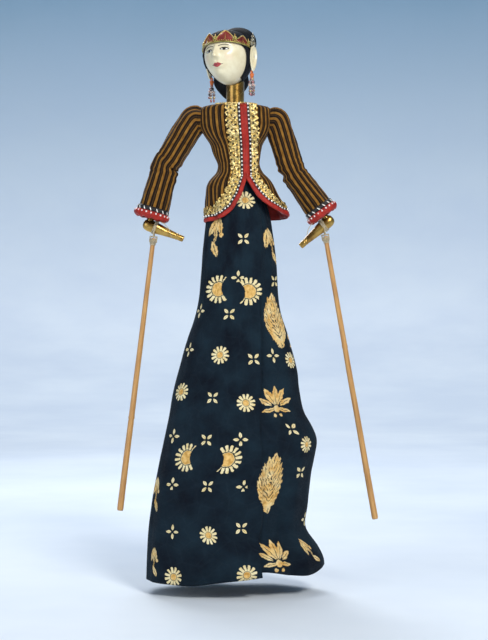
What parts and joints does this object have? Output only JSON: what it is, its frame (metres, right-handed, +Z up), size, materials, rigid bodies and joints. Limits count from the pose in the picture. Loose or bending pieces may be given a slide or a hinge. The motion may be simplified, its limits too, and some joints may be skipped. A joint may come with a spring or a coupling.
{
  "type": "rod puppet",
  "caption": "Carved wooden rod puppet on a central rod, with string-jointed arms, bamboo hand rods, a striped jacket and a long patterned skirt.",
  "frame": {"origin": "lower end of the plain grip of the central rod, on its axis", "axes": "+Z up along the central rod to the head; the puppet faces -Y; +X is the puppet's left side"},
  "size_m": [0.3267, 0.1364, 0.6885],
  "materials": {
    "plain_wood": "bare carved wood, handled",
    "gold_lacquer": "antique gold lacquer on wood, glossy",
    "face_paint": "ivory paint on wood, satin",
    "hair_paint": "blue-black paint on wood, glossy",
    "red_paint": "dark red paint with gold edges",
    "gold_paint": "gold paint",
    "silver_gilt": "tarnished silver-gilt",
    "orange_thread": "bound thread",
    "glass_beads": "mixed glass beads",
    "white_beads": "white glass beads",
    "striped_cloth": "woven cotton with dark and ochre stripes",
    "dark_cloth": "dark cotton",
    "gold_braid": "metallic lace braid",
    "red_satin": "red satin, soft sheen",
    "batik_cloth": "navy-black cotton with cream and ochre flower motifs",
    "cotton_string": "twisted cotton string",
    "bamboo": "peeled bamboo"
  },
  "bodies": {
    "rod_and_head": {"central_rod": "plain_wood", "neck": "gold_lacquer", "head": "face_paint", "hair": "hair_paint", "hair_bun": "hair_paint", "diadem_band": "red_paint", "diadem_leaves": "red_paint", "diadem_rosettes": "gold_paint", "right_ear": "face_paint", "left_ear": "face_paint", "right_ear_ornament": "silver_gilt", "left_ear_ornament": "silver_gilt"},
    "washer": {"thrust_washer": "plain_wood"},
    "torso": {"torso": "plain_wood", "jacket_body": "striped_cloth", "right_front_braid": "gold_braid", "left_front_braid": "gold_braid", "front_ribbon": "red_satin", "front_beads": "white_beads", "jacket_hem_band": "red_satin", "jacket_hem_beads": "white_beads", "waist_tie": "cotton_string", "skirt": "batik_cloth"},
    "right_earring": {"right_earring_tie": "orange_thread", "right_earring_beads": "glass_beads"},
    "right_shoulder_link": {"right_shoulder_cord": "cotton_string"},
    "right_upper_arm": {"right_upper_arm": "plain_wood", "right_upper_sleeve": "striped_cloth"},
    "right_elbow_link": {"right_elbow_cord": "cotton_string"},
    "right_forearm": {"right_forearm_hand": "gold_lacquer", "right_fore_sleeve": "striped_cloth", "right_cuff_band": "dark_cloth", "right_cuff": "red_satin", "right_cuff_beads": "white_beads", "right_thread_tail": "cotton_string"},
    "right_tie_link": {"right_tie_cord": "cotton_string"},
    "right_rod": {"right_hand_rod": "bamboo"},
    "left_earring": {"left_earring_tie": "orange_thread", "left_earring_beads": "glass_beads"},
    "left_shoulder_link": {"left_shoulder_cord": "cotton_string"},
    "left_upper_arm": {"left_upper_arm": "plain_wood", "left_upper_sleeve": "striped_cloth"},
    "left_elbow_link": {"left_elbow_cord": "cotton_string"},
    "left_forearm": {"left_forearm_hand": "gold_lacquer", "left_fore_sleeve": "striped_cloth", "left_cuff_band": "dark_cloth", "left_cuff": "red_satin", "left_cuff_beads": "white_beads", "left_thread_tail": "cotton_string"},
    "left_tie_link": {"left_tie_cord": "cotton_string"},
    "left_rod": {"left_hand_rod": "bamboo"}
  },
  "joints": [
    {"name": "torso_lift", "type": "slide", "parent": "rod_and_head", "child": "washer", "axis": [0, 0, 1], "range_m": [0, 0.005]},
    {"name": "torso_turn", "type": "hinge", "parent": "washer", "child": "torso", "pos_m": [0, 0, 0.384], "axis": [0, 0, 1], "continuous": true},
    {"name": "right_earring_swing", "type": "hinge", "parent": "rod_and_head", "child": "right_earring", "pos_m": [-0.02945, 0.00508, 0.58512], "axis": [0.8796, -0.4677, 0.0872], "range_deg": [-20, 40]},
    {"name": "right_shoulder_swing", "type": "hinge", "parent": "torso", "child": "right_shoulder_link", "pos_m": [-0.0505, 0, 0.536], "axis": [-1, 0, 0], "range_deg": [-40, 110]},
    {"name": "right_shoulder_raise", "type": "hinge", "parent": "right_shoulder_link", "child": "right_upper_arm", "pos_m": [-0.0505, 0, 0.536], "axis": [0, 1, 0], "range_deg": [-3, 75]},
    {"name": "right_elbow_spread", "type": "hinge", "parent": "right_upper_arm", "child": "right_elbow_link", "pos_m": [-0.08681, 0, 0.47557], "axis": [0, 1, 0], "range_deg": [-4, 40]},
    {"name": "right_elbow_bend", "type": "hinge", "parent": "right_elbow_link", "child": "right_forearm", "pos_m": [-0.09067, 0, 0.46211], "axis": [-0.9613, 0, 0.2756], "range_deg": [-10, 75]},
    {"name": "right_tie_swing", "type": "hinge", "parent": "right_forearm", "child": "right_tie_link", "pos_m": [-0.10062, 0, 0.39856], "axis": [0, 1, 0], "range_deg": [-5, 48]},
    {"name": "right_rod_swing", "type": "hinge", "parent": "right_tie_link", "child": "right_rod", "pos_m": [-0.10281, 0, 0.38069], "axis": [-0.9925, 0, 0.1219], "range_deg": [-70, 80]},
    {"name": "left_earring_swing", "type": "hinge", "parent": "rod_and_head", "child": "left_earring", "pos_m": [0.02068, -0.02158, 0.59009], "axis": [0.8796, -0.4677, 0.0872], "range_deg": [-20, 40]},
    {"name": "left_shoulder_swing", "type": "hinge", "parent": "torso", "child": "left_shoulder_link", "pos_m": [0.0505, 0, 0.536], "axis": [-1, 0, 0], "range_deg": [-40, 110]},
    {"name": "left_shoulder_raise", "type": "hinge", "parent": "left_shoulder_link", "child": "left_upper_arm", "pos_m": [0.0505, 0, 0.536], "axis": [0, -1, 0], "range_deg": [-3, 75]},
    {"name": "left_elbow_spread", "type": "hinge", "parent": "left_upper_arm", "child": "left_elbow_link", "pos_m": [0.07111, 0, 0.46858], "axis": [0, -1, 0], "range_deg": [-8, 40]},
    {"name": "left_elbow_bend", "type": "hinge", "parent": "left_elbow_link", "child": "left_forearm", "pos_m": [0.07934, 0, 0.45725], "axis": [-0.809, 0, -0.5878], "range_deg": [-10, 75]},
    {"name": "left_tie_swing", "type": "hinge", "parent": "left_forearm", "child": "left_tie_link", "pos_m": [0.11043, 0, 0.40093], "axis": [0, -1, 0], "range_deg": [-5, 48]},
    {"name": "left_rod_swing", "type": "hinge", "parent": "left_tie_link", "child": "left_rod", "pos_m": [0.11355, 0, 0.38321], "axis": [-0.9848, 0, -0.1736], "range_deg": [-70, 80]}
  ]
}
